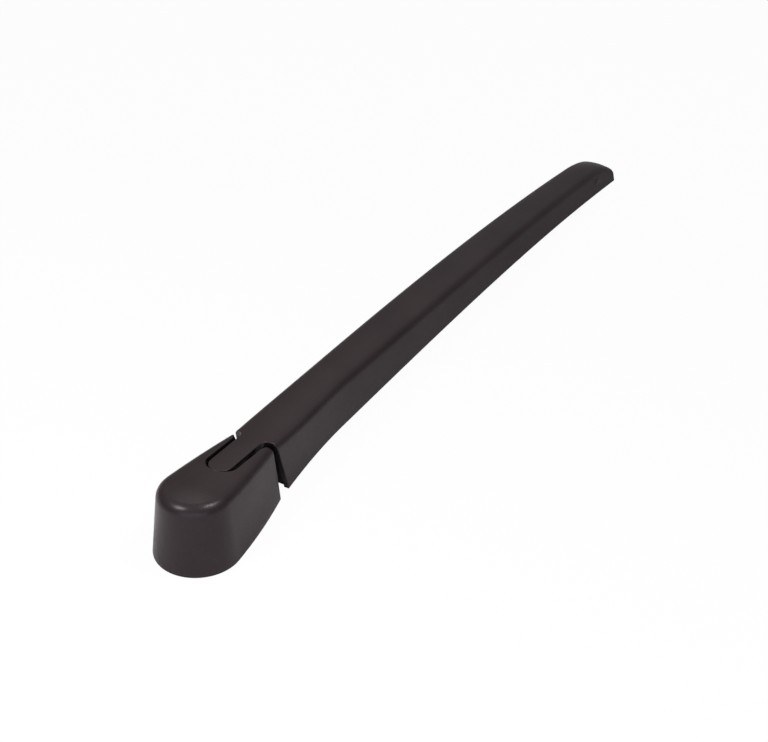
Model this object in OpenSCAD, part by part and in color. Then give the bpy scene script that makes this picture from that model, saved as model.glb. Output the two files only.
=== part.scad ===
/* [Head] */
// Radius of the round front of the cap at its rim
cap_r = 16.8; // [15.5:0.5:19]
// Angle at which each flank of the cap tapers towards the arm
flank_angle = 6; // [5:0.5:8]
// How fast the flank bends in, per millimetre
flank_bend = 0.0022; // [0.0015:0.0001:0.0028]
// Rise of the cap's top from the shoulder to its round front
cap_rise = 2.4; // [2.1:0.2:3.9]
// Radius of the cap's top edge at the front
cap_fillet = 4.2; // [3.4:0.2:5]
// Inward lean of the cap's wall over its height, at the front
cap_draft = 3.2; // [2.6:0.1:4.2]
// How much narrower than the arm the cap's top is where they meet
cap_step = 0.5; // [0.2:0.1:0.8]
// Wall thickness of the cap
cap_wall = 2; // [1.8:0.1:2.6]

/* [Arm] */
// Distance from the spindle axis to the arm's tip
arm_reach = 334; // [300:1:380]
// Distance from the spindle axis to the arm's shoulder, at the top
shoulder_x = 37.9; // [37.4:0.1:38.6]
// Height of the top edge at the shoulder
shoulder_h = 26.8; // [26.2:0.2:27.6]
// Handle height of the top edge curve towards the shoulder
top_handle_near = 23.2; // [22:0.2:25]
// Handle height of the top edge curve towards the tip
top_handle_far = 22.3; // [20.5:0.2:23.5]
// Height that the top edge would have at the tip without the nose
top_tip = 9; // [8:0.2:11]
// Half-width of the top at the shoulder
half_shoulder = 9.7; // [9.3:0.1:10.2]
// Handle half-width towards the shoulder
half_handle_near = 11.9; // [11:0.1:12.6]
// Handle half-width towards the tip
half_handle_far = 10.1; // [9.4:0.1:10.8]
// Half-width of the top at the tip
half_tip = 9; // [8.4:0.1:9.6]
// Height of the lower edge behind the heel, without the skirt
edge_heel = 6.8; // [6:0.2:8]
// Handle height of the lower edge towards the heel
edge_handle_near = 11.1; // [10:0.1:12]
// Handle height of the lower edge towards the tip
edge_handle_far = 12; // [10.8:0.2:12.6]
// Depth that the skirt adds at the heel
skirt_depth = 6; // [4.8:0.2:6.6]
// Length over which the skirt runs out
skirt_run = 43; // [36:1:60]
// Radius of the arm's top edges
arm_fillet = 3.5; // [2.6:0.1:4]
// Outward lean of the side walls for each millimetre of depth
arm_draft = 0.03; // [0.02:0.0025:0.05]
// Wall thickness of the arm
arm_wall = 2.3; // [1.9:0.1:2.6]
// Length of the rounded nose
nose_run = 24; // [18:1:30]
// Height of the arm's end face
nose_h = 4.1; // [3.5:0.1:4.9]
// Radius of the corners of the end in plan
nose_corner = 1.5; // [1:0.1:2.5]
// Thickness of the ribs inside the arm
rib_t = 1.5; // [1.2:0.1:2]
// Spacing of the cross ribs
rib_pitch = 18; // [14:1:26]

/* [Parting line] */
// Half-width of the arm's tongue
tongue_half = 4.8; // [4.5:0.1:5]
// Distance from the spindle axis to the tongue's front end
tongue_front = 11.6; // [11.2:0.1:12.4]
// Gap round the tongue
tongue_gap = 1.5; // [1.2:0.1:1.8]
// Rise of the tongue's top from the shoulder, if carried on to the cap's front
tongue_rise = 1.4; // [1:0.1:2.4]
// Gap between cap and arm at the rim
gap_rim = 4.8; // [4:0.1:5.4]
// Gap between cap and arm at the top edge
gap_top = 2.2; // [1.8:0.1:2.6]
// Forward slope of the notch's front face for each millimetre down
notch_slope = 0.35; // [0.3:0.01:0.45]
// Backward slope of the parting plane for each millimetre down
parting_slope = 0.235; // [0.2:0.005:0.26]
// Radius of the inside corner where the tongue meets the shoulder
shoulder_r = 3.5; // [3:0.1:4]
// Radius of the cap's corner beside it
horn_r = 3.4; // [3:0.1:3.6]

/* [Hinge] */
// Distance from the spindle axis to the hinge axis
hinge_x = 25.5; // [25:0.1:26]
// Height of the hinge axis
hinge_z = 19.5; // [19:0.1:19.8]
// Diameter of the hinge pin
pin_d = 4.5; // [4:0.1:4.8]
// Running clearance round the hinge pin
pin_clear = 0.05; // [0.03:0.01:0.08]
// Wall of the hinge bush
bush_wall = 0.9; // [0.7:0.1:1.1]
// Radius of the round end of each fork ear
ear_r = 4.2; // [4:0.1:4.4]
// Thickness of each fork ear
ear_t = 2.2; // [2:0.1:2.6]
// Side clearance between moving faces at the hinge
side_clear = 0.4; // [0.3:0.05:0.5]
// Radius of the round underside of the neck
neck_r = 7.3; // [7:0.1:7.6]
// Height of the underside of the neck behind the hinge
neck_under = 14; // [13.6:0.2:14.6]
// Thickness of the tongue in front of the hinge
tongue_t = 2.6; // [2.2:0.1:2.8]

/* [Drive head] */
// Radius of the boss on the spindle
boss_r = 11; // [10.4:0.2:11.4]
// Height of the boss
boss_h = 14; // [12.5:0.5:14.5]
// Diameter of the hole for the spindle's thread
bore_d = 8.2; // [7:0.1:10]
// Height of the straight part of that hole
bore_run = 6; // [5:0.5:8]
// Diameter of the spindle's cone at the base
cone_d = 11; // [10.4:0.2:13]
// Height of the head's floor between the ears
floor_h = 4; // [3:0.2:4.2]
// Distance from the spindle axis to the spring's anchor in the head
anchor_x = 15.6; // [15.4:0.1:16]
// Height of the spring's anchor in the head
anchor_z = 9; // [8.6:0.1:9.4]

/* [Spring] */
// Diameter of the spring's wire
wire_d = 1.7; // [1.4:0.1:1.9]
// Outer diameter of the coil
coil_d = 9; // [8:0.2:9.4]
// Number of turns
coil_turns = 18; // [12:1:20]
// Length of the coil
coil_len = 46; // [40:1:48]
// Distance from the spindle axis to the start of the coil
coil_x = 49; // [48:0.5:51]
// Distance from the end of the coil to the spring's anchor in the arm
tail_shank = 10; // [9:0.5:14]
// Height of the spring's anchor in the arm
tail_z = 15; // [14.4:0.2:15.6]
// Diameter of the two anchor pins
anchor_d = 4; // [3.6:0.1:4.2]

/* [Blade joint] */
// Distance from the tip to the blade pin
blade_back = 19; // [17:0.5:22]
// Height of the blade pin
blade_z = 5.4; // [5:0.1:5.6]
// Diameter of the blade pin
blade_d = 4; // [3:0.1:4.2]
// Length of the open bay for the blade's adapter
blade_bay = 38; // [34:1:44]

/* [Hidden] */
// Clearance of a pin in its moulded or cast seat
seat_clear = 0.02;
// Overshoot that makes a cut pass its face
cut = 1;
// Steps in the quarter round of an edge, and the angle where the crown takes over
edge_steps = 6;
crown_angle = 12;
// Shares of the half-width at which the crown has a point
crown_shares = [2/3, 1/3];
crown_rings = [0.75, 0.5, 0.25, 0.08];
cap_back = shoulder_x + gap_rim;
moulding = [0.235, 0.21, 0.22];
casting = [0.55, 0.56, 0.57];
steel = [0.62, 0.63, 0.64];
bronze = [0.55, 0.42, 0.24];

// Plan of the cap's rim: a round front, then a flank that tapers and bends in a little.
flank_start = cap_r * sin(flank_angle);
function rim_half(x) = let (run = x - flank_start) run < 0 ? sqrt(max(0, cap_r * cap_r - x * x))
    : cap_r * cos(flank_angle) - run * tan(flank_angle) - flank_bend * run * run;
function flank_facing(x) = 90 - atan(tan(flank_angle) + 2 * flank_bend * (x - flank_start));

// Share of the way from the cap's front to the shoulder.
function back_share(x) = min(1, max(0, (x + cap_r) / (shoulder_x + cap_r)));
function blend(a, b, t) = a + (b - a) * t;
function arm_lean(x) = blend(cap_draft, rim_half(shoulder_x) - half_shoulder, pow(back_share(x), 2));
function cap_lean(x) = arm_lean(x) + cap_step * back_share(x);
function edge_r(x) = blend(cap_fillet, arm_fillet, back_share(x));
function crown(half) = half * tan(crown_angle) / 2;

// Cubic curve over the arm's length from four heights or half-widths.
function arm_share(x) = max(0, (x - shoulder_x) / (arm_reach - shoulder_x));
function curve(x, a, b, c, d) = let (s = arm_share(x), r = 1 - s)
    a * pow(r, 3) + 3 * b * s * r * r + 3 * c * s * s * r + d * pow(s, 3);

// Height of the top edge, in front of the shoulder that of the cap.
function plain_top(x) = x < shoulder_x
    ? shoulder_h + cap_rise * (shoulder_x - x) / (shoulder_x + cap_r)
    : curve(x, shoulder_h, top_handle_near, top_handle_far, top_tip);
function nose_share(x) = max(0, (x - arm_reach + nose_run) / nose_run);
function round_off(t) = sqrt(max(0, 1 - t * t));
function tongue_top(x) = shoulder_h + tongue_rise * (shoulder_x - x) / (shoulder_x + cap_r);
function arm_top(x) = x < shoulder_x ? tongue_top(x)
    : blend(nose_h, plain_top(x), round_off(nose_share(x)));
function corner_share(x) = max(0, (x - arm_reach + nose_corner) / nose_corner);
function arm_half(x) = (x < shoulder_x ? rim_half(x) - arm_lean(x)
    : curve(x, half_shoulder, half_handle_near, half_handle_far, half_tip))
    - nose_corner * (1 - round_off(corner_share(x)));
function skirt_share(x) = max(0, 1 - max(0, x - shoulder_x) / skirt_run);
function arm_edge(x) = curve(x, edge_heel, edge_handle_near, edge_handle_far, 0)
    - skirt_depth * pow(skirt_share(x), 2);

// One half of an arm section at x, from the lower edge up to the crown, set in by a wall.
function half_section(x, wall, low) = let (
        top = arm_top(x) - wall,
        half = arm_half(x) - wall,
        r = min(max(arm_fillet - wall, 0.6), 0.55 * (top - min(low, top - 1))),
        flat = half - r)
    concat([[half + arm_draft * (top - low), low]],
        [for (i = [0 : edge_steps]) let (a = i * (90 - crown_angle) / edge_steps)
            [flat + r * cos(a), top - r + r * sin(a)]],
        [for (t = crown_shares) [flat * t, top + crown(flat) * (1 - t * t)]]);
function section(x, wall, low) = let (h = half_section(x, wall, low), n = len(h),
        top = arm_top(x) - wall, flat = h[n - 1][0] / crown_shares[1])
    concat([for (p = h) [x, p[0], p[1]]], [[x, 0, top + crown(flat)]],
        [for (i = [n - 1 : -1 : 0]) [x, -h[i][0], h[i][1]]]);

// Side faces between neighbouring rings, from point number base on.
function skin(n, m, base = 0) = [for (k = [0 : m - 2]) for (i = [0 : n - 1])
    let (j = (i + 1) % n, a = base + k * n)
    each [[a + i, a + n + j, a + j], [a + i, a + n + i, a + n + j]]];

// Skin over rings that all have the same number of points, with flat ends.
module loft(rings) {
    n = len(rings[0]);
    m = len(rings);
    last = (m - 1) * n;
    points = [for (r = rings) each r];
    ends = [[for (i = [0 : n - 1]) i], [for (i = [n - 1 : -1 : 0]) last + i]];
    polyhedron(points, concat(skin(n, m), ends), convexity = 6);
}

nose_x = arm_reach - nose_run;
body_steps = 32;
outer_stations = concat([tongue_front - 2, hinge_x],
    [for (i = [0 : body_steps]) blend(shoulder_x, nose_x, i / body_steps)],
    [for (a = [15 : 15 : 75]) nose_x + (nose_run - nose_corner) * sin(a)],
    [for (a = [0 : 30 : 90]) arm_reach - nose_corner + nose_corner * sin(a)]);
module arm_outer() {
    loft([for (x = outer_stations) section(x, 0, x < shoulder_x ? 0 : arm_edge(x))]);
}

cavity_end = arm_reach - arm_wall;
inner_stations = concat([shoulder_x - 3],
    [for (i = [0 : 2 : body_steps]) blend(shoulder_x, nose_x, i / body_steps)],
    [for (t = [0.25, 0.5, 0.75, 1]) blend(nose_x, cavity_end, t)]);
module arm_cavity(wall) {
    loft([for (x = inner_stations) section(x, wall, -cut)]);
}

// Everything that belongs to the arm: the tongue, and all that lies behind the parting
// plane. With a gap it is what the cap leaves free.
function tongue_plan(half, front, x, r) = let (wide = 2 * cap_r, far = arm_reach + 10)
    concat([[far, wide], [x, wide]],
        [for (a = [0 : 15 : 90]) [x - r + r * cos(a), half + r - r * sin(a)]],
        [for (a = [0 : 12 : 180]) [front + half - half * sin(a), half * cos(a)]],
        [for (a = [90 : -15 : 0]) [x - r + r * cos(a), -half - r + r * sin(a)]],
        [[x, -wide], [far, -wide]]);
region_top = shoulder_h + 10;
region_low = -8;
function parting_x(z) = shoulder_x + (shoulder_h - z) * parting_slope;
function side_gap(z) = blend(gap_rim, gap_top, z / shoulder_h);
function region_ring(z, half, front, x, r) = [for (p = tongue_plan(half, front, x, r)) [p[0], p[1], z]];
module arm_region() {
    loft([for (z = [region_low, region_top])
        region_ring(z, tongue_half, tongue_front, parting_x(z), shoulder_r)]);
}
function notch_x(z) = tongue_front - tongue_gap - (plain_top(tongue_front) - z) * notch_slope;
module cap_clearance() {
    loft([for (z = [region_low, region_top])
        region_ring(z, tongue_half + tongue_gap, notch_x(z), parting_x(z) - side_gap(z), horn_r)]);
}

// A cylinder across the arm, between two places on the Y axis.
module across(x, z, r, from, to) {
    translate([x, from, z]) rotate([-90, 0, 0]) cylinder(r = r, h = to - from, $fn = 48);
}
module both_sides() {
    children();
    mirror([0, 1, 0]) children();
}
// A plate across the arm with a side profile in X and Z.
module side_plate(profile, from, to) {
    translate([0, to, 0]) rotate([90, 0, 0]) linear_extrude(height = to - from) polygon(profile);
}

pin_r = pin_d / 2;
bush_r = pin_r + pin_clear + bush_wall;
ear_in = tongue_half + side_clear;
ear_out = ear_in + ear_t;
socket_face = ear_out + side_clear;
socket_r = pin_r + 1.9;
cheek_out = rim_half(hinge_x) - cap_lean(hinge_x) * hinge_z / plain_top(hinge_x);
pin_half = cheek_out - 1.6;

// Cap outline points from the rear of one flank round the front to the other, each with
// its outward direction.
flank_steps = 8;
flank_side = [for (i = [0 : flank_steps]) let (x = blend(cap_back, flank_start, i / flank_steps))
    [x, rim_half(x), flank_facing(x)]];
front_side = [for (a = [90 - flank_angle + 9 : 9 : 179]) [cap_r * cos(a), cap_r * sin(a), a]];
cap_side = concat(flank_side, front_side, [[-cap_r, 0, 180]]);
cap_count = len(cap_side);
function mirrored(list) = concat(list,
    [for (i = [len(list) - 2 : -1 : 0]) [list[i][0], -list[i][1], list[i][2]]]);
function cap_point(p, inset, z) = let (s = p[1] < 0 ? -1 : 1)
    [p[0] - inset * cos(p[2]), p[1] - s * inset * sin(p[2]), z];
function cap_ring(wall, a) = [for (p = mirrored(cap_side)) let (
        r = max(edge_r(p[0]) - wall, 0.8), top = plain_top(p[0]) - wall)
    cap_point(p, wall + cap_lean(p[0]) * (top - r + r * sin(a)) / plain_top(p[0]) + r * (1 - cos(a)),
        top - r + r * sin(a))];
function crown_ring(wall, t) = let (edge = cap_ring(wall, 90 - crown_angle))
    [for (p = edge) let (spine = [max(0, p[0]), 0, p[2]], half = norm(p - spine))
        spine + (p - spine) * t + [0, 0, crown(half) * (1 - t * t)]];
function cap_base(wall, z) = [for (p = mirrored(cap_side))
    cap_point(p, wall + cap_lean(p[0]) * z / plain_top(p[0]), z)];
function cap_rings(wall) = concat([cap_base(wall, 0)],
    [for (i = [0 : edge_steps]) cap_ring(wall, i * (90 - crown_angle) / edge_steps)],
    [for (t = crown_rings) crown_ring(wall, t)]);

// Strip that closes the last ring, from its one half to its mirrored other half.
function ridge(first, n) = let (half = floor(n / 2))
    concat([for (i = [0 : half - 1]) [first + i, first + n - 1 - i, first + n - 2 - i]],
        [for (i = [0 : half - 2]) [first + i, first + n - 2 - i, first + i + 1]]);
function flipped(face) = [face[0], face[2], face[1]];

// The cap's wall: its outer skin, its inner skin, and the rim between them.
module cap_shell() {
    outer = cap_rings(0);
    inner = cap_rings(cap_wall);
    n = len(outer[0]);
    m = len(outer);
    deep = m * n;
    rim = [for (i = [0 : n - 1]) let (j = (i + 1) % n) each [[i, j, deep + j], [i, deep + j, deep + i]]];
    polyhedron(concat([for (r = outer) each r], [for (r = inner) each r]),
        concat(skin(n, m), ridge(deep - n, n), rim,
            [for (f = concat(skin(n, m, deep), ridge(2 * deep - n, n))) flipped(f)]), convexity = 6);
}

// Stop ribs inside the cap's front, which rest just above the boss, and the pin's sockets.
stop_gap = 0.3;
stop_y = 5;
stop_inset = 1.9;
stop_z = boss_h + stop_gap;
stop_end = 3 - boss_r;
function front_wall(inset) = let (r = cap_fillet - inset, top = plain_top(-cap_r) - inset)
    [for (a = [75 : -15 : 0]) let (z = top - r + r * sin(a))
        [-cap_r + inset + cap_draft * z / plain_top(-cap_r) + r * (1 - cos(a)), z]];
module cap_inside() {
    wall = front_wall(stop_inset);
    stop = concat([[stop_end, stop_z], [stop_end, plain_top(stop_end) - cap_wall / 3]], wall,
        [[wall[5][0] - 0.5, stop_z]]);
    both_sides() {
        across(hinge_x, hinge_z, socket_r, socket_face, cheek_out - 1.35);
        side_plate(stop, stop_y - rib_t / 2, stop_y + rib_t / 2);
    }
}
module cap() {
    color(moulding) difference() {
        union() {
            cap_shell();
            cap_inside();
        }
        cap_clearance();
        both_sides() across(hinge_x, hinge_z, pin_r + pin_clear, 0, pin_half + 0.2);
    }
}

// Die-cast head: a boss on the spindle and a fork that carries the hinge pin.
ear_back = hinge_x + ear_r;
ear_profile = [[0, 0], [ear_back, 0], [ear_back, hinge_z], [hinge_x - ear_r, hinge_z], [boss_r * 0.8, boss_h],
    [0, boss_h]];
module fork() {
    both_sides() {
        side_plate(ear_profile, ear_in, ear_out);
        across(hinge_x, hinge_z, ear_r, ear_in, ear_out);
    }
    translate([0, -ear_out, 0]) cube([ear_back, 2 * ear_out, floor_h]);
}
boss_chamfer = 0.8;
bore_r = bore_d / 2;
module spindle_hole() {
    translate([0, 0, -cut]) cylinder(r = bore_r, h = boss_h + 2 * cut, $fn = 64);
    rotate_extrude($fn = 64) polygon([[0, -cut], [cone_d / 2, -cut], [cone_d / 2, 0],
        [bore_r, boss_h - bore_run], [0, boss_h - bore_run]]);
}
module drive_head() {
    color(casting) difference() {
        union() {
            rotate_extrude($fn = 96) polygon([[0, 0], [boss_r, 0], [boss_r, boss_h - boss_chamfer],
                [boss_r - boss_chamfer, boss_h], [0, boss_h]]);
            fork();
        }
        spindle_hole();
        across(hinge_x, hinge_z, pin_r + seat_clear, -ear_out - cut, ear_out + cut);
        across(anchor_x, anchor_z, anchor_d / 2 + seat_clear, -ear_out - cut, ear_out + cut);
    }
}

// Neck under the tongue, round about the hinge, and the bulkhead that ties it to the walls.
bulkhead_x = shoulder_x + 6.5;
bulkhead_t = 2.4;
// The bulkhead's wings beside the spring's shank, down to the skirt's edge.
wing_in = wire_d / 2 + 1.6;
wing_low = arm_edge(bulkhead_x);
module neck_profile() {
    top = shoulder_h + 2 * cap_rise;
    back = bulkhead_x + bulkhead_t;
    front = tongue_front - cut;
    polygon([[front, plain_top(front) - tongue_t], [hinge_x, plain_top(hinge_x) - tongue_t],
        [hinge_x, neck_under],
        [back, neck_under], [back, top], [front, top]]);
    translate([hinge_x, hinge_z]) circle(r = neck_r, $fn = 72);
}
module neck() {
    intersection() {
        translate([0, tongue_half, 0]) rotate([90, 0, 0])
            linear_extrude(height = 2 * tongue_half) neck_profile();
        arm_outer();
    }
    inner_fill() {
        translate([bulkhead_x, -cap_r, neck_under]) cube([bulkhead_t, 2 * cap_r, shoulder_h]);
        both_sides() translate([bulkhead_x, wing_in, wing_low]) cube([bulkhead_t, cap_r, neck_under]);
    }
}
module inner_fill() {
    intersection() {
        children();
        arm_cavity(arm_wall - 0.4);
    }
}

// Ladder of ribs under the arm's top, from the spring's anchor to the blade bay.
tail_rib_half = 7;
tail_x = coil_x + coil_len + tail_shank;
rib_in = 3.4;
rib_start = tail_x + tail_rib_half + rib_t;
rib_end = arm_reach - blade_bay;
rib_count = floor((rib_end - rib_start) / rib_pitch);
rib_drop = 6.5;
module cross_ribs() {
    for (i = [0 : rib_count]) {
        x = rib_start + i * (rib_end - rib_start) / rib_count;
        translate([x - rib_t / 2, -cap_r, plain_top(x) - arm_wall - rib_drop])
            cube([rib_t, 2 * cap_r, rib_drop + arm_wall]);
    }
}
module spine_rib() {
    for (i = [0 : rib_count - 1]) {
        span = (rib_end - rib_start) / rib_count;
        x = rib_start + i * span;
        drop = rib_drop * 0.75;
        side_plate([[x, plain_top(x) - arm_wall - drop], [x + span, plain_top(x + span) - arm_wall - drop],
            [x + span, plain_top(x + span)], [x, plain_top(x)]], -rib_t / 2, rib_t / 2);
    }
}
module tail_ribs() {
    both_sides() side_plate([[tail_x - tail_rib_half, tail_z + 2], [tail_x - 3, tail_z - anchor_d / 2 - 1.8],
        [tail_x + 3, tail_z - anchor_d / 2 - 1.8], [tail_x + tail_rib_half, tail_z + 2],
        [tail_x + tail_rib_half, shoulder_h], [tail_x - tail_rib_half, shoulder_h]], rib_in, rib_in + 2.4);
}
blade_x = arm_reach - blade_back;
blade_wall_in = arm_half(blade_x) - arm_wall;
blade_half = blade_wall_in + arm_wall / 2;
module blade_bosses() {
    both_sides()
        across(blade_x, blade_z, blade_d / 2 + 1.4, blade_wall_in - 1, blade_wall_in + arm_wall * 0.7);
}
module arm_shell() {
    color(moulding) difference() {
        intersection() {
            union() {
                difference() {
                    arm_outer();
                    arm_cavity(arm_wall);
                    translate([0, -tongue_half - cut, -cut])
                        cube([shoulder_x, 2 * tongue_half + 2 * cut, plain_top(shoulder_x) - tongue_t + cut]);
                }
                neck();
                inner_fill() {
                    cross_ribs();
                    spine_rib();
                    tail_ribs();
                    blade_bosses();
                }
            }
            arm_region();
        }
        across(hinge_x, hinge_z, bush_r + seat_clear, -tongue_half - cut, tongue_half + cut);
        across(tail_x, tail_z, anchor_d / 2 + seat_clear, -rib_in - 2.4 - cut, rib_in + 2.4 + cut);
        across(blade_x, blade_z, blade_d / 2 + seat_clear, -blade_half, blade_half);
    }
}

module hinge_pin() {
    color(steel) across(hinge_x, hinge_z, pin_r, -pin_half, pin_half);
}
module hinge_bush() {
    color(bronze) difference() {
        across(hinge_x, hinge_z, bush_r, -tongue_half, tongue_half);
        across(hinge_x, hinge_z, pin_r + pin_clear, -tongue_half - cut, tongue_half + cut);
    }
}
module head_anchor_pin() {
    color(steel) across(anchor_x, anchor_z, anchor_d / 2, -ear_out, ear_out);
}
module arm_anchor_pin() {
    color(steel) across(tail_x, tail_z, anchor_d / 2, -rib_in - 2.4, rib_in + 2.4);
}
module blade_pin() {
    color(steel) across(blade_x, blade_z, blade_d / 2, -blade_half + 0.1, blade_half - 0.1);
}

// Tension spring: one wire, hooked round the head's pin, coiled, and hooked round the arm's pin.
head_pin = [anchor_x, 0, anchor_z];
tail_pin = [tail_x, 0, tail_z];
spring_dir = (tail_pin - head_pin) / norm(tail_pin - head_pin);
spring_up = [-spring_dir[2], 0, spring_dir[0]];
hook_clear = 0.2;
hook_r = (anchor_d + wire_d) / 2 + hook_clear;
coil_r = (coil_d - wire_d) / 2;
coil_start = (coil_x - anchor_x) / spring_dir[0];
turn_steps = 12;
function hook(centre, way) = [for (a = [-60 : -20 : -300])
    centre + way * spring_dir * hook_r * cos(a) + spring_up * hook_r * sin(a)];
function shank_out(centre, way) = [for (s = [[0.95, 0.45], [1.7, 0]])
    centre + (way * spring_dir * s[0] + spring_up * s[1]) * hook_r];
function coil_point(t) = let (a = 360 * t)
    head_pin + spring_dir * (coil_start + coil_len * t / coil_turns)
    + (spring_up * cos(a) + [0, 1, 0] * sin(a)) * coil_r;
function reversed(list) = [for (i = [len(list) - 1 : -1 : 0]) list[i]];
spring_path = concat(hook(head_pin, 1), shank_out(head_pin, 1),
    [head_pin + spring_dir * (coil_start - 2.5),
     head_pin + spring_dir * (coil_start - 1) + spring_up * coil_r * 0.5],
    [for (i = [0 : coil_turns * turn_steps]) coil_point(i / turn_steps)],
    [head_pin + spring_dir * (coil_start + coil_len + 1) + spring_up * coil_r * 0.5,
     head_pin + spring_dir * (coil_start + coil_len + 2.5)],
    reversed(concat(hook(tail_pin, -1), shank_out(tail_pin, -1))));
function unit(v) = v / norm(v);
function tangent(p, i) = unit(p[min(i + 1, len(p) - 1)] - p[max(i - 1, 0)]);
function square_to(v, t) = unit(v - (v * t) * t);
module wire(path, r, sides) {
    n = len(path);
    normals = [for (i = 0, v = square_to([0, 1, 0], tangent(path, 0)); i < n;
        i = i + 1, v = i < n ? square_to(v, tangent(path, i)) : v) v];
    loft([for (i = [0 : n - 1]) let (t = tangent(path, i), v = normals[i], w = cross(t, v))
        [for (k = [0 : sides - 1]) let (a = 360 * k / sides) path[i] + r * (cos(a) * v + sin(a) * w)]]);
}
module tension_spring() {
    color(steel) wire(spring_path, wire_d / 2, 6);
}

cap();
drive_head();
arm_shell();
hinge_pin();
hinge_bush();
tension_spring();
head_anchor_pin();
arm_anchor_pin();
blade_pin();
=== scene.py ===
import math

import bpy
import numpy as np
from mathutils import Matrix, Vector


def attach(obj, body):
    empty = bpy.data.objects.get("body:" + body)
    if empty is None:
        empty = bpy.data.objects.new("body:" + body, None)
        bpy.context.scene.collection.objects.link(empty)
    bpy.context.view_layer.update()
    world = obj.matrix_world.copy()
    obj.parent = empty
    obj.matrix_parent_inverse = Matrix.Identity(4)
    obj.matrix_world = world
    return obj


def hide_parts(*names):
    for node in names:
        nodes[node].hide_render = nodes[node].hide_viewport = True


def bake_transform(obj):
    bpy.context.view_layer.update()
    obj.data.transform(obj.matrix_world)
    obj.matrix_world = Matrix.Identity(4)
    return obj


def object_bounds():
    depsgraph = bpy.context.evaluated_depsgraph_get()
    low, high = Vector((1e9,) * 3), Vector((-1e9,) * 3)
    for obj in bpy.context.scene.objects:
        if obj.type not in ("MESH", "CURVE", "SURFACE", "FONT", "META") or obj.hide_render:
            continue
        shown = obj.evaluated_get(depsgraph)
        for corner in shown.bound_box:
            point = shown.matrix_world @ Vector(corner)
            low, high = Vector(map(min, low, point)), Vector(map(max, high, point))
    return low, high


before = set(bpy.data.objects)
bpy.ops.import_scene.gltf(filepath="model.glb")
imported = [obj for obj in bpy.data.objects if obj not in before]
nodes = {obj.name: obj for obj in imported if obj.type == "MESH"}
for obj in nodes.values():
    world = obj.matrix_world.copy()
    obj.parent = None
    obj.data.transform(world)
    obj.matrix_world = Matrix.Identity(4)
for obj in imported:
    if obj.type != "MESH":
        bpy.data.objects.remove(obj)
cad_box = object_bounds()
scene = bpy.context.scene
MM = 0.001


# Dimensions in millimetres, the same as in the part's source.
CAP_R, FLANK_ANGLE, FLANK_BEND = 16.8, math.radians(6), 0.0022
CAP_RISE, CAP_FILLET, CAP_DRAFT, CAP_STEP, CAP_WALL = 2.4, 4.2, 3.2, 0.5, 2.0
ARM_REACH, SHOULDER_X, SHOULDER_H = 334.0, 37.9, 26.8
TOP_CURVE = (SHOULDER_H, 23.2, 22.3, 9.0)
HALF_CURVE = (9.7, 11.9, 10.1, 9.0)
EDGE_CURVE = (6.8, 11.1, 12.0, 0.0)
SKIRT_DEPTH, SKIRT_RUN = 6.0, 43.0
ARM_FILLET, ARM_DRAFT, ARM_WALL = 3.5, 0.03, 2.3
NOSE_RUN, NOSE_H, NOSE_CORNER = 24.0, 4.1, 1.5
RIB_T, RIB_PITCH, RIB_DROP = 1.5, 18.0, 6.5
TONGUE_HALF, TONGUE_FRONT, TONGUE_RISE = 4.8, 11.6, 1.4
GAP_RIM, GAP_TOP, NOTCH_SLOPE, PARTING_SLOPE = 4.8, 2.2, 0.35, 0.235
SHOULDER_R, HORN_R = 3.5, 3.4
HINGE_X, HINGE_Z, PIN_R, PIN_CLEAR = 25.5, 19.5, 2.25, 0.05
SIDE_CLEAR, EAR_T, SOCKET_WALL = 0.4, 2.2, 1.9
STOP_GAP, STOP_Y, STOP_INSET, STOP_REACH = 0.3, 5, 1.9, 3
BULKHEAD_SET, BULKHEAD_T, WING_CLEAR = 6.5, 2.4, 1.6
TAIL_RIB_HALF, TAIL_FOOT_HALF, TAIL_FOOT_DROP = 7, 3, 1.8
TAIL_RIB_IN, TAIL_RIB_OUT = 3.4, 5.8
NECK_R, NECK_UNDER = 7.3, 14.0
BOSS_R, BOSS_H = 11.0, 14.0
HEAD_PIN, PIN_HOOK_D = (15.6, 0.0, 9.0), 4.0
WIRE_R, COIL_D, COIL_TURNS, COIL_LEN, COIL_X = 0.85, 9.0, 18, 46.0, 49.0
TAIL_X, TAIL_Z = 105.0, 15.0
BLADE_X, BLADE_Z, BLADE_D, BLADE_BAY = 315.0, 5.4, 4.0, 38.0
CROWN_ANGLE = math.radians(12)

# Set in the scene alone. The source's gap round the tongue is 1.5 all along.
TONGUE_GAP, FRONT_GAP = 1.65, 0.6
# Behind the shoulder the arm's top is arched higher, and leans further in, than in the source.
BOW_LAG, BOW_RUN, BOW_ANGLE = 4, 50, math.radians(13)
ARCH, LEAN_IN, ARCH_FILLET = 1.9, 1.4, 4.4
# Radius of the soft edges that a moulding tool leaves
EDGE_SOFT = 0.35
# Where the cap's sockets end inside its cheeks, and the wall that thins towards the arm's nose
SOCKET_INSET = 1.35
THIN_RUN, THIN_RATE, THIN_WALL = 14, 0.1, 1.1
# How far plates and roofs sink into the arm's wall, and the bosses that hold the blade's pin
PLATE_SINK, ROOF_SINK, BLADE_BOSS = 0.4, 1.2, 1.4


# Curves of the mouldings

def mix(a, b, t):
    return a + (b - a) * t


FLANK_START = CAP_R * math.sin(FLANK_ANGLE)


def rim_half(x):
    run = x - FLANK_START
    front = np.sqrt(np.maximum(0, CAP_R ** 2 - x * x))
    flank = CAP_R * math.cos(FLANK_ANGLE) - run * math.tan(FLANK_ANGLE) - FLANK_BEND * run * run
    return np.where(run < 0, front, flank)


def back_share(x):
    return np.clip((x + CAP_R) / (SHOULDER_X + CAP_R), 0, 1)


def arm_lean(x):
    rear = rim_half(np.float64(SHOULDER_X)) - HALF_CURVE[0]
    return mix(CAP_DRAFT, rear, back_share(x) ** 2)


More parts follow.
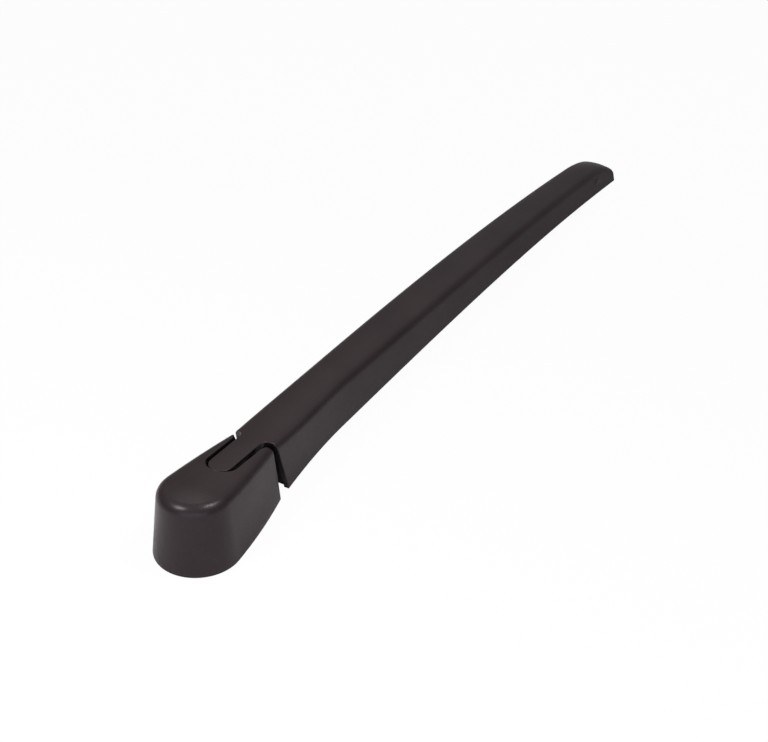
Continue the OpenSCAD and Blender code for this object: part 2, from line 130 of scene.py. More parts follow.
def cap_lean(x):
    return arm_lean(x) + CAP_STEP * back_share(x)


def edge_radius(x):
    return mix(CAP_FILLET, ARM_FILLET, back_share(x))


def crown(half, angle=CROWN_ANGLE):
    return half * np.tan(angle) / 2


def behind_shoulder(x):
    share = np.clip((x - SHOULDER_X - BOW_LAG) / BOW_RUN, 0, 1)
    nose = np.clip((x - ARM_REACH + NOSE_RUN) / NOSE_RUN, 0, 1)
    return share * share * (3 - 2 * share) * round_off(nose)


def along_arm(x, handles):
    s = np.maximum(0, (x - SHOULDER_X) / (ARM_REACH - SHOULDER_X))
    r = 1 - s
    a, b, c, d = handles
    return a * r ** 3 + 3 * b * s * r * r + 3 * c * s * s * r + d * s ** 3


def slope_up(x, rise):
    return SHOULDER_H + rise * (SHOULDER_X - x) / (SHOULDER_X + CAP_R)


def cap_top(x):
    return np.where(x < SHOULDER_X, slope_up(x, CAP_RISE), along_arm(x, TOP_CURVE))


def round_off(t):
    return np.sqrt(np.maximum(0, 1 - t * t))


def arm_top(x):
    nose = np.clip((x - ARM_REACH + NOSE_RUN) / NOSE_RUN, 0, 1)
    behind = mix(NOSE_H, along_arm(x, TOP_CURVE), round_off(nose))
    return np.where(x < SHOULDER_X, slope_up(x, TONGUE_RISE), behind)


def arm_half(x):
    corner = np.clip((x - ARM_REACH + NOSE_CORNER) / NOSE_CORNER, 0, 1)
    half = np.where(x < SHOULDER_X, rim_half(x) - arm_lean(x), along_arm(x, HALF_CURVE))
    return half - NOSE_CORNER * (1 - round_off(corner))


def arm_edge(x):
    skirt = np.clip(1 - (x - SHOULDER_X) / SKIRT_RUN, 0, 1)
    return np.where(x < SHOULDER_X, 0, along_arm(x, EDGE_CURVE) - SKIRT_DEPTH * skirt ** 2)


def parting_x(z):
    return SHOULDER_X + (SHOULDER_H - z) * PARTING_SLOPE


def side_gap(z):
    return mix(GAP_RIM, GAP_TOP, z / SHOULDER_H)


def notch_x(z):
    return TONGUE_FRONT - FRONT_GAP - (slope_up(TONGUE_FRONT, CAP_RISE) - z) * NOTCH_SLOPE


def parting_distance(x, y, shoulder, front, half, radius):
    """Distance in plan from the parting line, positive on the cap's side, for y at or above 0."""
    to_shoulder = shoulder - x
    to_tongue = y - half
    to_front = np.hypot(x - front - half, y) - half
    to_corner = radius - np.hypot(x - shoulder + radius, y - half - radius)
    corner = (x > shoulder - radius) & (y < half + radius)
    along = np.where(x >= front + half, to_tongue, to_front)
    return np.where(corner, to_corner, np.where(y >= half + radius, to_shoulder, along))


# Meshes: half a skin as a grid, cut along the parting line, mirrored, and given a wall with
# soft edges.

def grid_triangles(rows, columns):
    i, j = np.meshgrid(np.arange(rows - 1), np.arange(columns - 1), indexing="ij")
    a = (i * columns + j).ravel()
    b, c, d = a + 1, a + columns + 1, a + columns
    return np.concatenate([np.stack([a, b, c], 1), np.stack([a, c, d], 1)])


def drop_slivers(points, triangles, nearest=1e-4):
    keys = np.round(points / nearest).astype(np.int64)
    _, first, inverse = np.unique(keys, axis=0, return_index=True, return_inverse=True)
    triangles = inverse.ravel()[triangles]
    whole = (triangles[:, 0] != triangles[:, 1]) & (triangles[:, 1] != triangles[:, 2])
    whole &= triangles[:, 0] != triangles[:, 2]
    return points[first], triangles[whole]


def cut(points, triangles, keep, near_end=0.04):
    """Cuts the triangles along keep = 0 and drops what is below it."""
    points, made, out = list(points), {}, []
    side = keep > 0

    def crossing(a, b):
        key = (min(a, b), max(a, b))
        if key not in made:
            t = min(1 - near_end, max(near_end, keep[a] / (keep[a] - keep[b])))
            made[key] = len(points)
            points.append(points[a] + (points[b] - points[a]) * t)
        return made[key]

    for tri in triangles:
        inside = side[tri]
        count = inside.sum()
        if count == 3:
            out.append(tuple(tri))
        elif count == 1:
            k = int(np.argmax(inside))
            a, b, c = (int(tri[(k + i) % 3]) for i in range(3))
            out.append((a, crossing(a, b), crossing(a, c)))
        elif count == 2:
            k = int(np.argmin(inside))
            a, b, c = (int(tri[(k + i) % 3]) for i in range(3))
            ab, ac = crossing(a, b), crossing(a, c)
            out += [(ab, b, c), (ab, c, ac)]
    return compact(np.array(points), np.array(out))


def compact(points, triangles):
    used, inverse = np.unique(triangles, return_inverse=True)
    return points[used], inverse.reshape(triangles.shape)


def mirrored(points, triangles):
    on_axis = np.abs(points[:, 1]) < 1e-6
    other = np.arange(len(points)) + len(points)
    other[on_axis] = np.arange(len(points))[on_axis]
    both = np.concatenate([points, points * (1, -1, 1)])
    return compact(both, np.concatenate([triangles, other[triangles][:, ::-1]]))


def vertex_normals(points, triangles):
    a, b, c = (points[triangles[:, i]] for i in range(3))
    faces = np.cross(b - a, c - a)
    normals = np.zeros_like(points)
    for i in range(3):
        np.add.at(normals, triangles[:, i], faces)
    return normals / np.maximum(1e-12, np.linalg.norm(normals, axis=1))[:, None]


def open_edges(triangles):
    edges = {(int(t[i]), int(t[(i + 1) % 3])) for t in triangles for i in range(3)}
    return {a: b for a, b in edges if (b, a) not in edges}


def with_wall(points, triangles, wall, soft=EDGE_SOFT, steps=4):
    """A closed shell: the skin, soft edges round its border, a wall and an inner skin.
    Returns points, faces and the number of faces that come before those of the border's wall."""
    normals = vertex_normals(points, triangles)
    follow = open_edges(triangles)
    before = {b: a for a, b in follow.items()}
    border = sorted(follow)
    place = {v: i for i, v in enumerate(border)}
    outward = []
    for v in border:
        sides = []
        for a, b in ((before[v], v), (v, follow[v])):
            step = points[b] - points[a]
            side = np.cross(step / np.linalg.norm(step), normals[v])
            sides.append(side / np.linalg.norm(side))
        mitre = (sides[0] + sides[1]) / (1 + max(-0.3, sides[0] @ sides[1]))
        outward.append(mitre)
    outward = np.array(outward)
    base, normal = points[border], normals[border]
    depth = wall[border][:, None]
    rings = []
    for k in range(1, steps + 1):
        a = math.pi / 2 * k / steps
        rings.append(base + outward * soft * math.sin(a) - normal * soft * (1 - math.cos(a)))
    rings.append(base + outward * soft - normal * depth)
    n, m = len(points), len(border)
    inner = points - normals * wall[:, None]
    all_points = np.concatenate([points, *rings, inner])
    all_points[:, 2] = np.maximum(all_points[:, 2], 0)
    first_inner = n + m * len(rings)

    def on_ring(v, k):
        if k == 0:
            return v
        return n + (k - 1) * m + place[v] if k <= len(rings) else first_inner + v

    faces = [tuple(int(i) for i in t) for t in triangles]
    faces += [tuple(int(first_inner + i) for i in t[::-1]) for t in triangles]
    strips = [[(on_ring(b, k), on_ring(a, k), on_ring(a, k + 1), on_ring(b, k + 1))
               for a, b in follow.items()] for k in range(len(rings) + 1)]
    for k in range(steps):
        faces += strips[k]
    plain = len(faces)
    for k in range(steps, len(rings) + 1):
        faces += strips[k]
    return all_points, faces, plain


class Mesh:
    """Collects closed solids in millimetres, each with a material number."""

    def __init__(self):
        self.points, self.faces, self.kinds = [], [], []

    def add(self, points, faces, kinds=None):
        first = len(self.points)
        self.points += [tuple(p) for p in np.asarray(points, float)]
        self.faces += [tuple(first + i for i in f) for f in faces]
        self.kinds += list(kinds) if kinds is not None else [0] * len(faces)

    def prism(self, outline, low, high, axis):
        """A closed prism over an outline, along axis 0 (outline in Y and Z) or 1 (X and Z)."""
        n = len(outline)
        rings = [[(w, u, v) if axis == 0 else (u, w, v) for u, v in outline] for w in (low, high)]
        faces = [tuple(range(n)), tuple(range(2 * n - 1, n - 1, -1))]
        faces += [(i, n + i, n + (i + 1) % n, (i + 1) % n) for i in range(n)]
        ahead = outline[1:] + outline[:1]
        area = sum(p[0] * q[1] - q[0] * p[1] for p, q in zip(outline, ahead))
        if (area > 0) == (axis == 0):
            faces = [f[::-1] for f in faces]
        self.add(rings[0] + rings[1], faces)

    def prism_pair(self, outline, low, high):
        self.prism(outline, low, high, 1)
        self.prism(outline, -high, -low, 1)

    def tube_across(self, x, z, outer, inner, low, high, steps=64):
        """A plain tube along Y. With an inner radius of 0 it is a solid cylinder."""
        angles = [2 * math.pi * i / steps for i in range(steps)]
        if not inner:
            circle = [(x + outer * math.cos(a), z + outer * math.sin(a)) for a in angles]
            self.prism(circle, low, high, 1)
            return
        loops = [[(x + r * math.cos(a), y, z + r * math.sin(a)) for a in angles]
                 for r, y in ((outer, low), (outer, high), (inner, high), (inner, low))]
        faces = []
        for k in range(4):
            for i in range(steps):
                j = (i + 1) % steps
                nxt = (k + 1) % 4
                faces.append((k * steps + i, nxt * steps + i, nxt * steps + j, k * steps + j))
        self.add([p for loop in loops for p in loop], faces)

    def make(self, name, body, replaced, materials, smooth=math.radians(42)):
        mesh = bpy.data.meshes.new(name)
        mesh.from_pydata([tuple(c * MM for c in p) for p in self.points], [], self.faces)
        mesh.validate()
        for mat in materials:
            mesh.materials.append(mat)
        mesh.polygons.foreach_set("material_index", self.kinds)
        mesh.shade_smooth()
        mesh.set_sharp_from_angle(angle=smooth)
        obj = bpy.data.objects.new(name, mesh)
        scene.collection.objects.link(obj)
        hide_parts(replaced)
        if body:
            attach(obj, body)
        return obj


# The cap's skin over its outline, from the rim up the wall, the fillet and the crown.

def cap_outline():
    flank = np.linspace(SHOULDER_X + GAP_RIM, FLANK_START, 70)
    facing = math.pi / 2 - np.arctan(math.tan(FLANK_ANGLE) + 2 * FLANK_BEND * (flank - FLANK_START))
    angles = np.linspace(math.pi / 2 - FLANK_ANGLE, math.pi, 60)[1:]
    x = np.concatenate([flank, CAP_R * np.cos(angles)])
    y = np.concatenate([rim_half(flank), CAP_R * np.sin(angles)])
    y[-1] = 0
    return x, y, np.concatenate([facing, angles])


def cap_half_skin(wall_rows=14, fillet_rows=16, crown_rows=30):
    x, y, facing = cap_outline()
    top, radius, lean = cap_top(x), edge_radius(x), cap_lean(x)
    out_x, out_y = np.cos(facing), np.sin(facing)
    out_y[-1] = 0
    rows = []

    def row(z, inset):
        rows.append(np.stack([x - inset * out_x, y - inset * out_y, z], 1))

    for t in np.linspace(0, 1, wall_rows)[:-1]:
        z = mix(EDGE_SOFT, top - radius, t)
        row(z, lean * z / top)
    for a in np.linspace(0, math.pi / 2 - CROWN_ANGLE, fillet_rows):
        z = top - radius + radius * math.sin(a)
        row(z, lean * z / top + radius * (1 - math.cos(a)))
    edge = rows[-1]
    rise = cap_top(np.maximum(0, x)) - cap_top(x)
    spine = np.stack([np.maximum(0, edge[:, 0]), np.zeros(len(edge)), edge[:, 2] + rise], 1)
    half = np.linalg.norm(edge - spine, axis=1)
    for t in np.linspace(1, 0, crown_rows)[1:]:
        lifted = spine + (edge - spine) * t
        lifted[:, 2] += crown(half) * (1 - t * t)
        rows.append(lifted)
    points = np.concatenate(rows)
    return drop_slivers(points, grid_triangles(len(rows), len(x)))


def cap_piece():
    points, triangles = cap_half_skin()
    x, y, z = points.T
    shoulder, notch_half = parting_x(z) - side_gap(z), TONGUE_HALF + TONGUE_GAP
    gap = parting_distance(x, y, shoulder, notch_x(z), notch_half, HORN_R)
    points, triangles = cut(points, triangles, gap - EDGE_SOFT)
    points, triangles = mirrored(points, triangles)
    points, faces, plain = with_wall(points, triangles, np.full(len(points), CAP_WALL))
    mesh = Mesh()
    # The border's walls take the second material, the near-black painted shade of the gaps
    mesh.add(points, faces, kinds=[0] * plain + [1] * (len(faces) - plain))
    cheek = float(rim_half(np.float64(HINGE_X)) - cap_lean(HINGE_X) * HINGE_Z / cap_top(HINGE_X))
    ear_out = TONGUE_HALF + SIDE_CLEAR + EAR_T
    for side in (1, -1):
        ends = sorted((side * (ear_out + SIDE_CLEAR), side * (cheek - SOCKET_INSET)))
        mesh.tube_across(HINGE_X, HINGE_Z, PIN_R + SOCKET_WALL, PIN_R + PIN_CLEAR, *ends)
    stop_z, stop_end = BOSS_H + STOP_GAP, STOP_REACH - BOSS_R
    inset = STOP_INSET
    radius, top = CAP_FILLET - inset, float(cap_top(np.float64(-CAP_R))) - inset
    wall = []
    for a in np.radians(np.arange(75, -1, -15)):
        z = top - radius + radius * math.sin(a)
        wall.append((-CAP_R + inset + CAP_DRAFT * z / (top + inset) + radius * (1 - math.cos(a)), z))
    stop = [(stop_end, stop_z), (stop_end, float(cap_top(np.float64(stop_end))) - CAP_WALL / 3)] + wall
    stop.append((wall[-1][0] - 0.5, stop_z))
    mesh.prism_pair(stop, STOP_Y - RIB_T / 2, STOP_Y + RIB_T / 2)
    return mesh.make("cap_skin", "cover", "cap", [PLASTIC, GAP_SHADE])


# The arm's skin over its stations, from the crown's middle over the edge down the side.

def arm_section(x, wall, low, crown_rows=14, fillet_rows=12, side_rows=14):
    """Half a section, from the middle of the crown down to the lower edge."""
    x = np.asarray(x, float)
    share = behind_shoulder(x)
    foot = arm_half(x) - wall + ARM_DRAFT * (arm_top(x) - low)
    top, half = arm_top(x) - wall + ARCH * share, arm_half(x) - wall - LEAN_IN * share
    fillet = mix(ARM_FILLET, ARCH_FILLET, share) - wall
    radius = np.minimum(np.maximum(fillet, 0.6), 0.55 * (top - np.minimum(low, top - 1)))
    flat, bow = half - radius, mix(CROWN_ANGLE, BOW_ANGLE, share)
    lip = flat + radius * np.sin(bow)
    slope = (foot - half) / (top - radius - low)
    rows = []
    for t in np.linspace(0, 1, crown_rows)[:-1]:
        rows.append((lip * t, top - radius * (1 - np.cos(bow)) + crown(lip, bow) * (1 - t * t)))
    for t in np.linspace(1, 0, fillet_rows):
        a = mix(np.arctan(slope), math.pi / 2 - bow, t)
        rows.append((flat + radius * np.cos(a), top - radius + radius * np.sin(a)))
    lowest = rows[-1]
    for t in np.linspace(0, 1, side_rows)[1:]:
        rows.append((mix(lowest[0], foot, t), mix(lowest[1], low, t)))
    return [np.stack([x, y + 0 * x, z + 0 * x], 1) for y, z in rows]


def arm_stations():
    nose_x = ARM_REACH - NOSE_RUN
    front = np.arange(TONGUE_FRONT - 0.5, SHOULDER_X + 10, 0.45)
    body = np.linspace(front[-1], nose_x, 150)[1:]
    turn = np.linspace(0, math.pi / 2, 26)[1:]
    nose = nose_x + (NOSE_RUN - NOSE_CORNER) * np.sin(turn)
    corner = ARM_REACH - NOSE_CORNER * (1 - np.sin(np.linspace(0, math.pi / 2, 9)[1:]))
    return np.concatenate([front, body, nose, corner])


def arm_half_skin():
    x = arm_stations()
    low = arm_edge(x) + EDGE_SOFT
    rows = arm_section(x, 0, low)
    columns = np.stack(rows, 1)
    end = columns[-1]
    fill = []
    for t in np.linspace(0, 1, 6)[1:]:
        lowered = end.copy()
        lowered[:, 2] = mix(end[:, 2], low[-1], t)
        fill.append(lowered)
    columns = np.concatenate([columns, np.stack(fill)])
    stations, rows = columns.shape[:2]
    return drop_slivers(columns.reshape(-1, 3), grid_triangles(stations, rows)[:, ::-1])


def arm_piece():
    points, triangles = arm_half_skin()
    x, y, z = points.T
    gap = parting_distance(x, y, parting_x(z), TONGUE_FRONT, TONGUE_HALF, SHOULDER_R)
    points, triangles = cut(points, triangles, -gap - EDGE_SOFT)
    points, triangles = mirrored(points, triangles)
    wall = np.clip(ARM_WALL - (points[:, 0] - ARM_REACH + THIN_RUN) * THIN_RATE, THIN_WALL, ARM_WALL)
    points, faces, plain = with_wall(points, triangles, wall)
    nose_of_tongue = TONGUE_FRONT + 0.6 * TONGUE_HALF
    # Walls behind the tongue's nose take the painted gap shade; those at its front keep the plain plastic
    gap_shaded_walls = [0 if points[list(f), 0].mean() < nose_of_tongue else 1 for f in faces[plain:]]
    mesh = Mesh()
    mesh.add(points, faces, kinds=[0] * plain + gap_shaded_walls)
    add_neck(mesh)
    add_ribs(mesh)
    return mesh.make("arm_skin", "arm", "arm_shell", [PLASTIC, GAP_SHADE])


def plate_across(mesh, x, thick, low):
    """A plate across the channel that fills it from a height up to the roof."""
    section = [p[0] for p in arm_section(np.array([x]), ARM_WALL - PLATE_SINK, np.array([low]), 8, 6, 2)]
    right = [(p[1], p[2]) for p in section if p[2] >= low]
    outline = right + [(-y, z) for y, z in reversed(right[1:])]
    mesh.prism(outline, x - thick / 2, x + thick / 2, 0)


def add_neck(mesh):
    half = TONGUE_HALF - 0.05
    mesh.tube_across(HINGE_X, HINGE_Z, NECK_R, 0, -half, half, 72)
    back = SHOULDER_X + BULKHEAD_SET + BULKHEAD_T
    roof = [(x, float(arm_top(np.float64(x))) - ROOF_SINK) for x in (back, HINGE_X)]
    mesh.prism([(HINGE_X, NECK_UNDER), (back, NECK_UNDER)] + roof, -half, half, 1)
    front, middle = back - BULKHEAD_T, back - BULKHEAD_T / 2
    plate_across(mesh, middle, BULKHEAD_T, NECK_UNDER)
    low = float(arm_edge(np.float64(front)))
    inner, outer = WIRE_R + WING_CLEAR, float(arm_half(np.float64(middle))) - ARM_WALL + 0.5
    for side in (1, -1):
        a, b = sorted((side * inner, side * outer))
        mesh.prism([(a, low), (b, low), (b, NECK_UNDER + 1), (a, NECK_UNDER + 1)], front, back, 0)


def add_ribs(mesh):
    def roof(x, under=1.0):
        return float(arm_top(np.float64(x))) - under

    start, end = TAIL_X + TAIL_RIB_HALF + RIB_T, ARM_REACH - BLADE_BAY
    count = int((end - start) // RIB_PITCH)
    stations = [start + i * (end - start) / count for i in range(count + 1)]
    for x in stations:
        plate_across(mesh, x, RIB_T, roof(x, 0) - ARM_WALL - RIB_DROP)
    drop = ARM_WALL + RIB_DROP * 0.75
    for a, b in zip(stations, stations[1:]):
        spine = [(a, roof(a, drop)), (b, roof(b, drop)), (b, roof(b)), (a, roof(a))]
        mesh.prism(spine, -RIB_T / 2, RIB_T / 2, 1)
    foot = TAIL_Z - PIN_HOOK_D / 2 - TAIL_FOOT_DROP
    rear, ahead = TAIL_X - TAIL_RIB_HALF, TAIL_X + TAIL_RIB_HALF
    tail = [(rear, TAIL_Z + 2), (TAIL_X - TAIL_FOOT_HALF, foot), (TAIL_X + TAIL_FOOT_HALF, foot),
            (ahead, TAIL_Z + 2), (ahead, roof(ahead)), (rear, roof(rear))]
    mesh.prism_pair(tail, TAIL_RIB_IN, TAIL_RIB_OUT)
    wall_in = float(arm_half(np.float64(BLADE_X))) - ARM_WALL
    for side in (1, -1):
        ends = sorted((side * (wall_in - 1), side * (wall_in + ARM_WALL * 0.7)))
        mesh.tube_across(BLADE_X, BLADE_Z, BLADE_D / 2 + BLADE_BOSS, 0, *ends)


# Tension spring: one round wire along the same path as the CAD spring, in finer steps.

def spring_path(turn_steps=36):
    head, tail = np.array(HEAD_PIN), np.array([TAIL_X, 0, TAIL_Z])
    ahead = (tail - head) / np.linalg.norm(tail - head)
    up = np.array([-ahead[2], 0, ahead[0]])
    hook_r = PIN_HOOK_D / 2 + WIRE_R + 0.2
    coil_r = COIL_D / 2 - WIRE_R
    coil_start = (COIL_X - head[0]) / ahead[0]

    def hook(centre, way):
        turn = np.radians(np.arange(-60, -301, -10))
        return [centre + way * ahead * hook_r * math.cos(a) + up * hook_r * math.sin(a) for a in turn]

    def shank(centre, way):
        return [centre + (way * ahead * a + up * b) * hook_r for a, b in ((0.95, 0.45), (1.7, 0))]

    def on_axis(run, lift=0.0):
        return head + ahead * run + up * lift

    coil = []
    for i in range(COIL_TURNS * turn_steps + 1):
        t = i / turn_steps
        a = 2 * math.pi * t
        ring = (up * math.cos(a) + np.array([0, 1, 0]) * math.sin(a)) * coil_r
        coil.append(on_axis(coil_start + COIL_LEN * t / COIL_TURNS) + ring)
    end = coil_start + COIL_LEN
    path = hook(head, 1) + shank(head, 1) + [on_axis(coil_start - 2.5), on_axis(coil_start - 1, coil_r / 2)]
    path += coil + [on_axis(end + 1, coil_r / 2), on_axis(end + 2.5)]
    return np.array(path + (hook(tail, -1) + shank(tail, -1))[::-1])


def tube_rings(path, radius, sides):
    tangents = np.gradient(path, axis=0)
    tangents /= np.linalg.norm(tangents, axis=1)[:, None]
    across = np.array([0.0, 1.0, 0.0])
    rings = []
    for p, t in zip(path, tangents):
        across = across - (across @ t) * t
        across /= np.linalg.norm(across)
        other = np.cross(t, across)
        for k in range(sides):
            a = 2 * math.pi * k / sides
            rings.append(p + radius * (math.cos(a) * across + math.sin(a) * other))
    return np.array(rings)


def spring_piece(sides=12):
    path = spring_path()
    n = len(path)
    faces = []
    for i in range(n - 1):
        for k in range(sides):
            j = (k + 1) % sides
            faces.append((i * sides + k, i * sides + j, (i + 1) * sides + j, (i + 1) * sides + k))
    faces += [tuple(range(sides - 1, -1, -1)), tuple((n - 1) * sides + k for k in range(sides))]
    mesh = Mesh()
    mesh.add(tube_rings(path, WIRE_R, sides), faces)
    spring = mesh.make("spring_wire", None, "tension_spring", [SPRING])
    # The shank turns between the head's pin and the hinge, and the coils follow the arm unbent.
    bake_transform(spring)
    return spring


# Camera: solved from the photo's outline, in the part's frame, in millimetres.
PSI, ELEV, ROLL = math.radians(31.305), math.radians(34.482), math.radians(0.015)
FOCAL_PX, DISTANCE = 1809.8, 660.34
ORIGIN_PX = (198.85, 548.13)
WIDTH_PX, HEIGHT_PX = 768, 742
SENSOR_MM = 36


def make_camera():
    level = math.cos(ELEV)
    forward = np.array([math.cos(PSI) * level, math.sin(PSI) * level, -math.sin(ELEV)])
    right = np.array([math.sin(PSI), -math.cos(PSI), 0.0])
    up = np.cross(right, forward)
    right2 = math.cos(ROLL) * right + math.sin(ROLL) * up
    up2 = -math.sin(ROLL) * right + math.cos(ROLL) * up
    dx = (ORIGIN_PX[0] - WIDTH_PX / 2) / FOCAL_PX * DISTANCE
    dy = (ORIGIN_PX[1] - HEIGHT_PX / 2) / FOCAL_PX * DISTANCE
    place = -(forward * DISTANCE + right2 * dx - up2 * dy) * MM
    data = bpy.data.cameras.new("camera")
    data.sensor_fit = "HORIZONTAL"
    data.sensor_width = SENSOR_MM
    data.lens = FOCAL_PX / WIDTH_PX * SENSOR_MM
    data.clip_start, data.clip_end = 0.01, 20
    cam = bpy.data.objects.new("camera", data)
    scene.collection.objects.link(cam)
    m = Matrix.Identity(4)
    for i in range(3):
        m[i][0], m[i][1], m[i][2], m[i][3] = right2[i], up2[i], -forward[i], place[i]
    cam.matrix_world = m
    scene.camera = cam


# Materials

def node_tree(name):
    mat = bpy.data.materials.new(name)
    mat.use_nodes = True
    tree = mat.node_tree
    shader = tree.nodes["Principled BSDF"]
    coords = tree.nodes.new("ShaderNodeTexCoord")
    return mat, tree, shader, coords


def noise(tree, coords, scale, detail, rough):
    n = tree.nodes.new("ShaderNodeTexNoise")
    n.inputs["Scale"].default_value = scale
    n.inputs["Detail"].default_value = detail
    n.inputs["Roughness"].default_value = rough
    tree.links.new(coords.outputs["Object"], n.inputs["Vector"])
    return n


def ramp(tree, source, low, high, a, b):
    r = tree.nodes.new("ShaderNodeMapRange")
    r.inputs["From Min"].default_value = low
    r.inputs["From Max"].default_value = high
    r.inputs["To Min"].default_value = a
    r.inputs["To Max"].default_value = b
    tree.links.new(source, r.inputs["Value"])
    return r.outputs["Result"]


def mix_colour(tree, factor, a, b):
    m = tree.nodes.new("ShaderNodeMix")
    m.data_type = "RGBA"
    for socket, value in ((m.inputs[0], factor), (m.inputs[6], a), (m.inputs[7], b)):
        if isinstance(value, (tuple, list)):
            socket.default_value = (*value, 1.0)
        elif isinstance(value, float):
            socket.default_value = value
        else:
            tree.links.new(value, socket)
    return m.outputs[2]


def bump(tree, shader, height, strength, distance, normal=None):
    b = tree.nodes.new("ShaderNodeBump")
    b.inputs["Strength"].default_value = strength
    b.inputs["Distance"].default_value = distance
    tree.links.new(height, b.inputs["Height"])
    if normal is not None:
        tree.links.new(normal, b.inputs["Normal"])
    tree.links.new(b.outputs["Normal"], shader.inputs["Normal"])
    return b.outputs["Normal"]


def moulded_plastic(name, base, pale):
    mat, tree, shader, coords = node_tree(name)
    grain = noise(tree, coords, 2600, 3.0, 0.6)
    cloud = noise(tree, coords, 42, 4.0, 0.55)
    streak = noise(tree, coords, 420, 2.0, 0.5)
    tone = mix_colour(tree, ramp(tree, cloud.outputs["Fac"], 0.32, 0.68, 0.0, 1.0), base, pale)
    fleck = ramp(tree, grain.outputs["Fac"], 0.55, 0.8, 0.0, 0.55)
    tone = mix_colour(tree, fleck, tone, tuple(2.0 * c for c in pale))
    tree.links.new(tone, shader.inputs["Base Color"])
    rough = ramp(tree, streak.outputs["Fac"], 0.3, 0.7, 0.28, 0.33)
    tree.links.new(rough, shader.inputs["Roughness"])
    shader.inputs["Specular IOR Level"].default_value = 0.20
    first = bump(tree, shader, grain.outputs["Fac"], 0.35, 0.00006)
    bump(tree, shader, streak.outputs["Fac"], 0.12, 0.0001, first)
    return mat


def metal(name, colour, dark, rough_low, rough_high, scale, cast=False):
    mat, tree, shader, coords = node_tree(name)
    cloud = noise(tree, coords, scale * 0.1, 4.0, 0.6)
    fine = noise(tree, coords, scale, 3.0, 0.6)
    tone = mix_colour(tree, ramp(tree, cloud.outputs["Fac"], 0.35, 0.65, 0.0, 1.0), dark, colour)
    tree.links.new(tone, shader.inputs["Base Color"])
    shader.inputs["Metallic"].default_value = 1.0
    rough = ramp(tree, fine.outputs["Fac"], 0.3, 0.7, rough_low, rough_high)
    tree.links.new(rough, shader.inputs["Roughness"])
    strength, depth = (0.35, 0.00008) if cast else (0.15, 0.00003)
    bump(tree, shader, fine.outputs["Fac"], strength, depth)
    return mat


def dress(obj, mat):
    obj.data.materials.clear()
    obj.data.materials.append(mat)


PLASTIC = moulded_plastic("moulded_plastic", (0.0160, 0.0106, 0.0118), (0.0210, 0.0146, 0.0158))
# Painted shade: a near-black copy of the plastic, put on the walls of the gaps and the cut edges where
# shade falls
GAP_SHADE = moulded_plastic("painted_gap_shade", (0.004, 0.0035, 0.0036), (0.006, 0.0052, 0.0054))
CAST = metal("cast_zinc", (0.42, 0.42, 0.43), (0.30, 0.30, 0.31), 0.42, 0.6, 2200, cast=True)
STEEL = metal("pin_steel", (0.56, 0.56, 0.57), (0.42, 0.42, 0.43), 0.22, 0.34, 3000)
SPRING = metal("spring_steel", (0.38, 0.38, 0.40), (0.24, 0.24, 0.25), 0.28, 0.42, 2500)
BRONZE = metal("bush_bronze", (0.50, 0.33, 0.15), (0.36, 0.22, 0.10), 0.3, 0.45, 2600)

for name, mat in (("cap", PLASTIC), ("arm_shell", PLASTIC), ("drive_head", CAST), ("hinge_pin", STEEL),
                  ("head_anchor_pin", STEEL), ("arm_anchor_pin", STEEL), ("blade_pin", STEEL),
                  ("hinge_bush", BRONZE), ("tension_spring", SPRING)):
    dress(nodes[name], mat)


# Studio, in metres and watts

FILL_COLOUR, FILL_STRENGTH = (0.97, 0.98, 1.0, 1), 0.24
# Glossy rays see the white background dimmed towards the horizon: ray heights, then strengths.
MIRROR_HEIGHTS, MIRROR_STRENGTHS = (0.32, 0.85), (0.25, 1.0)
# Painted shade: the floor's colour darkens along the arm, standing in for light that falls off towards the
# tip. The camera sees mostly its plain white glow.
FLOOR_RUN, FLOOR_SHADE_TONES, FLOOR_GLOW = (-0.06, 0.24), (0.92, 0.42), 0.965
FLOOR_HALF, FLOOR_DROP = 6.0, 0.0003
# Name, place, height of the point on the spindle's axis that it faces, size, power, colour
LAMPS = (
    ("lamp_left", (-0.38, 0.175, 0.57), 0.03, (0.19, 0.19), 3.1, (1.0, 0.95, 0.94)),
    ("lamp_right", (0.16, -0.31, 0.62), 0.03, (0.19, 0.19), 2.5, (1.0, 0.95, 0.94)),
    ("lamp_back", (0.40, 0.27, 0.76), 0.03, (0.3, 0.3), 0.45, (1.0, 0.93, 0.92)),
    ("lamp_front", (-0.64, -0.37, 0.11), 0.015, (1.1, 0.6), 4.4, (0.78, 0.75, 1.0)),
)


def area_light(name, place, target, size, power, colour):
    data = bpy.data.lights.new(name, "AREA")
    data.shape = "RECTANGLE"
    data.size, data.size_y = size
    data.energy = power
    data.color = colour
    light = bpy.data.objects.new(name, data)
    light.location = place
    light.rotation_euler = (Vector(target) - Vector(place)).to_track_quat("-Z", "Y").to_euler()
    scene.collection.objects.link(light)


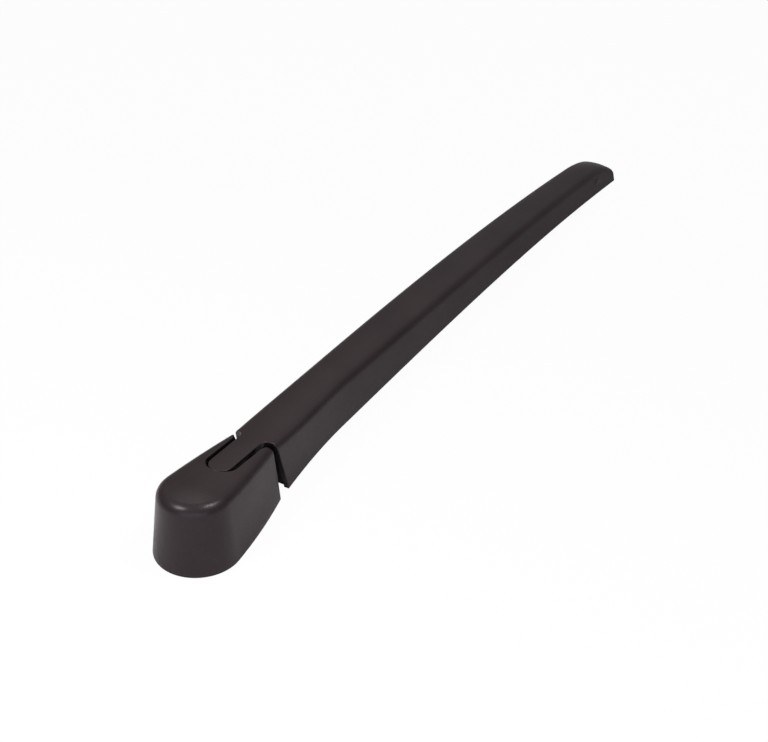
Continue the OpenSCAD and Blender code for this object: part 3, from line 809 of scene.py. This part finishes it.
def make_world():
    world = bpy.data.worlds.new("studio")
    scene.world = world
    world.use_nodes = True
    tree = world.node_tree
    tree.nodes.clear()
    out = tree.nodes.new("ShaderNodeOutputWorld")
    fill = tree.nodes.new("ShaderNodeBackground")
    fill.inputs["Color"].default_value = FILL_COLOUR
    fill.inputs["Strength"].default_value = FILL_STRENGTH
    white = tree.nodes.new("ShaderNodeBackground")
    white.inputs["Color"].default_value = (1, 1, 1, 1)
    path = tree.nodes.new("ShaderNodeLightPath")
    ray = tree.nodes.new("ShaderNodeTexCoord")
    height = tree.nodes.new("ShaderNodeSeparateXYZ")
    tree.links.new(ray.outputs["Generated"], height.inputs[0])
    shade = ramp(tree, height.outputs["Z"], *MIRROR_HEIGHTS, *MIRROR_STRENGTHS)
    shade.node.interpolation_type = "SMOOTHSTEP"
    plain = tree.nodes.new("ShaderNodeMath")
    plain.operation = "SUBTRACT"
    plain.inputs[0].default_value = 1.0
    tree.links.new(path.outputs["Is Glossy Ray"], plain.inputs[1])
    strength = tree.nodes.new("ShaderNodeMath")
    strength.operation = "MAXIMUM"
    tree.links.new(shade, strength.inputs[0])
    tree.links.new(plain.outputs[0], strength.inputs[1])
    tree.links.new(strength.outputs[0], white.inputs["Strength"])
    first = tree.nodes.new("ShaderNodeMath")
    first.operation = "MAXIMUM"
    second = tree.nodes.new("ShaderNodeMath")
    second.operation = "MAXIMUM"
    tree.links.new(path.outputs["Is Camera Ray"], first.inputs[0])
    tree.links.new(path.outputs["Is Glossy Ray"], first.inputs[1])
    tree.links.new(first.outputs[0], second.inputs[0])
    tree.links.new(path.outputs["Is Transmission Ray"], second.inputs[1])
    both = tree.nodes.new("ShaderNodeMixShader")
    tree.links.new(second.outputs[0], both.inputs[0])
    tree.links.new(fill.outputs[0], both.inputs[1])
    tree.links.new(white.outputs[0], both.inputs[2])
    tree.links.new(both.outputs[0], out.inputs["Surface"])


def make_floor():
    mesh = bpy.data.meshes.new("floor")
    r, z = FLOOR_HALF, cad_box[0][2] - FLOOR_DROP
    mesh.from_pydata([(-r, -r, z), (r, -r, z), (r, r, z), (-r, r, z)], [], [(0, 1, 2, 3)])
    floor = bpy.data.objects.new("floor", mesh)
    scene.collection.objects.link(floor)
    mat = bpy.data.materials.new("floor")
    mat.use_nodes = True
    tree = mat.node_tree
    shader = tree.nodes["Principled BSDF"]
    place = tree.nodes.new("ShaderNodeTexCoord")
    along = tree.nodes.new("ShaderNodeSeparateXYZ")
    tree.links.new(place.outputs["Object"], along.inputs[0])
    # Painted shade on the floor, darker along the arm; light bounced onto the object carries it
    tone = ramp(tree, along.outputs["X"], *FLOOR_RUN, *FLOOR_SHADE_TONES)
    tree.links.new(tone, shader.inputs["Base Color"])
    shader.inputs["Roughness"].default_value = 0.9
    shader.inputs["Specular IOR Level"].default_value = 0.0
    glow = tree.nodes.new("ShaderNodeEmission")
    glow.inputs["Strength"].default_value = 1.0
    path = tree.nodes.new("ShaderNodeLightPath")
    share = tree.nodes.new("ShaderNodeMath")
    share.operation = "MULTIPLY"
    share.inputs[1].default_value = FLOOR_GLOW
    tree.links.new(path.outputs["Is Camera Ray"], share.inputs[0])
    both = tree.nodes.new("ShaderNodeMixShader")
    tree.links.new(share.outputs[0], both.inputs[0])
    tree.links.new(shader.outputs[0], both.inputs[1])
    tree.links.new(glow.outputs[0], both.inputs[2])
    tree.links.new(both.outputs[0], tree.nodes["Material Output"].inputs["Surface"])
    floor.data.materials.append(mat)


cap_piece()
arm_piece()
spring_piece()
make_camera()
make_world()
make_floor()
for name, place, aim, size, power, colour in LAMPS:
    area_light(name, place, (0, 0, aim), size, power, colour)
scene.view_settings.view_transform = "Standard"
